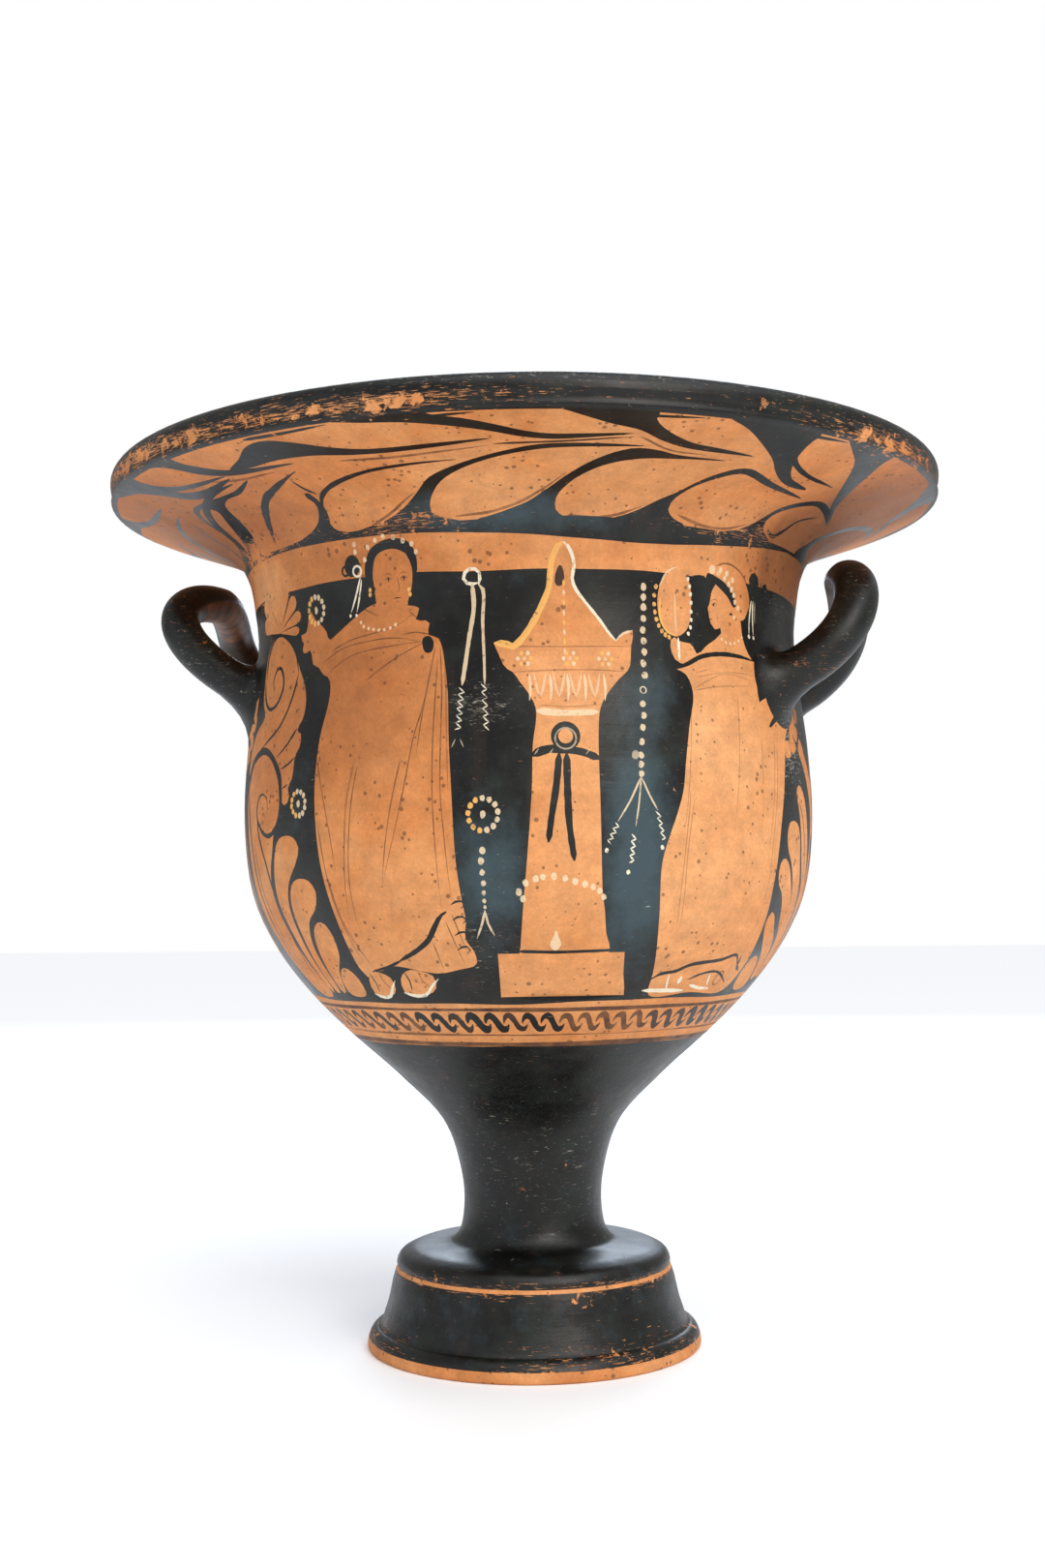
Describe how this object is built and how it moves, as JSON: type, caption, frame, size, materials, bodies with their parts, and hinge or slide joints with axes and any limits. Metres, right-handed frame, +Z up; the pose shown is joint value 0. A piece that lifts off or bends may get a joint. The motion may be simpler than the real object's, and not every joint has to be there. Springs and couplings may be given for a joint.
{
  "type": "krater",
  "caption": "Footed bell-shaped mixing bowl with a wide flaring rim, a tall stem, a moulded foot and upturned loop handles.",
  "frame": {"origin": "middle of the foot's resting ring, on the surface it stands on", "axes": "+Z up along the turning axis, +X and -X through the handles, -Y to the pictured front"},
  "size_m": [0.3354, 0.3354, 0.347],
  "materials": {
    "red_figure_ware": "satin black gloss over reserved orange clay"
  },
  "bodies": {
    "root": {"krater": "red_figure_ware"}
  },
  "joints": []
}
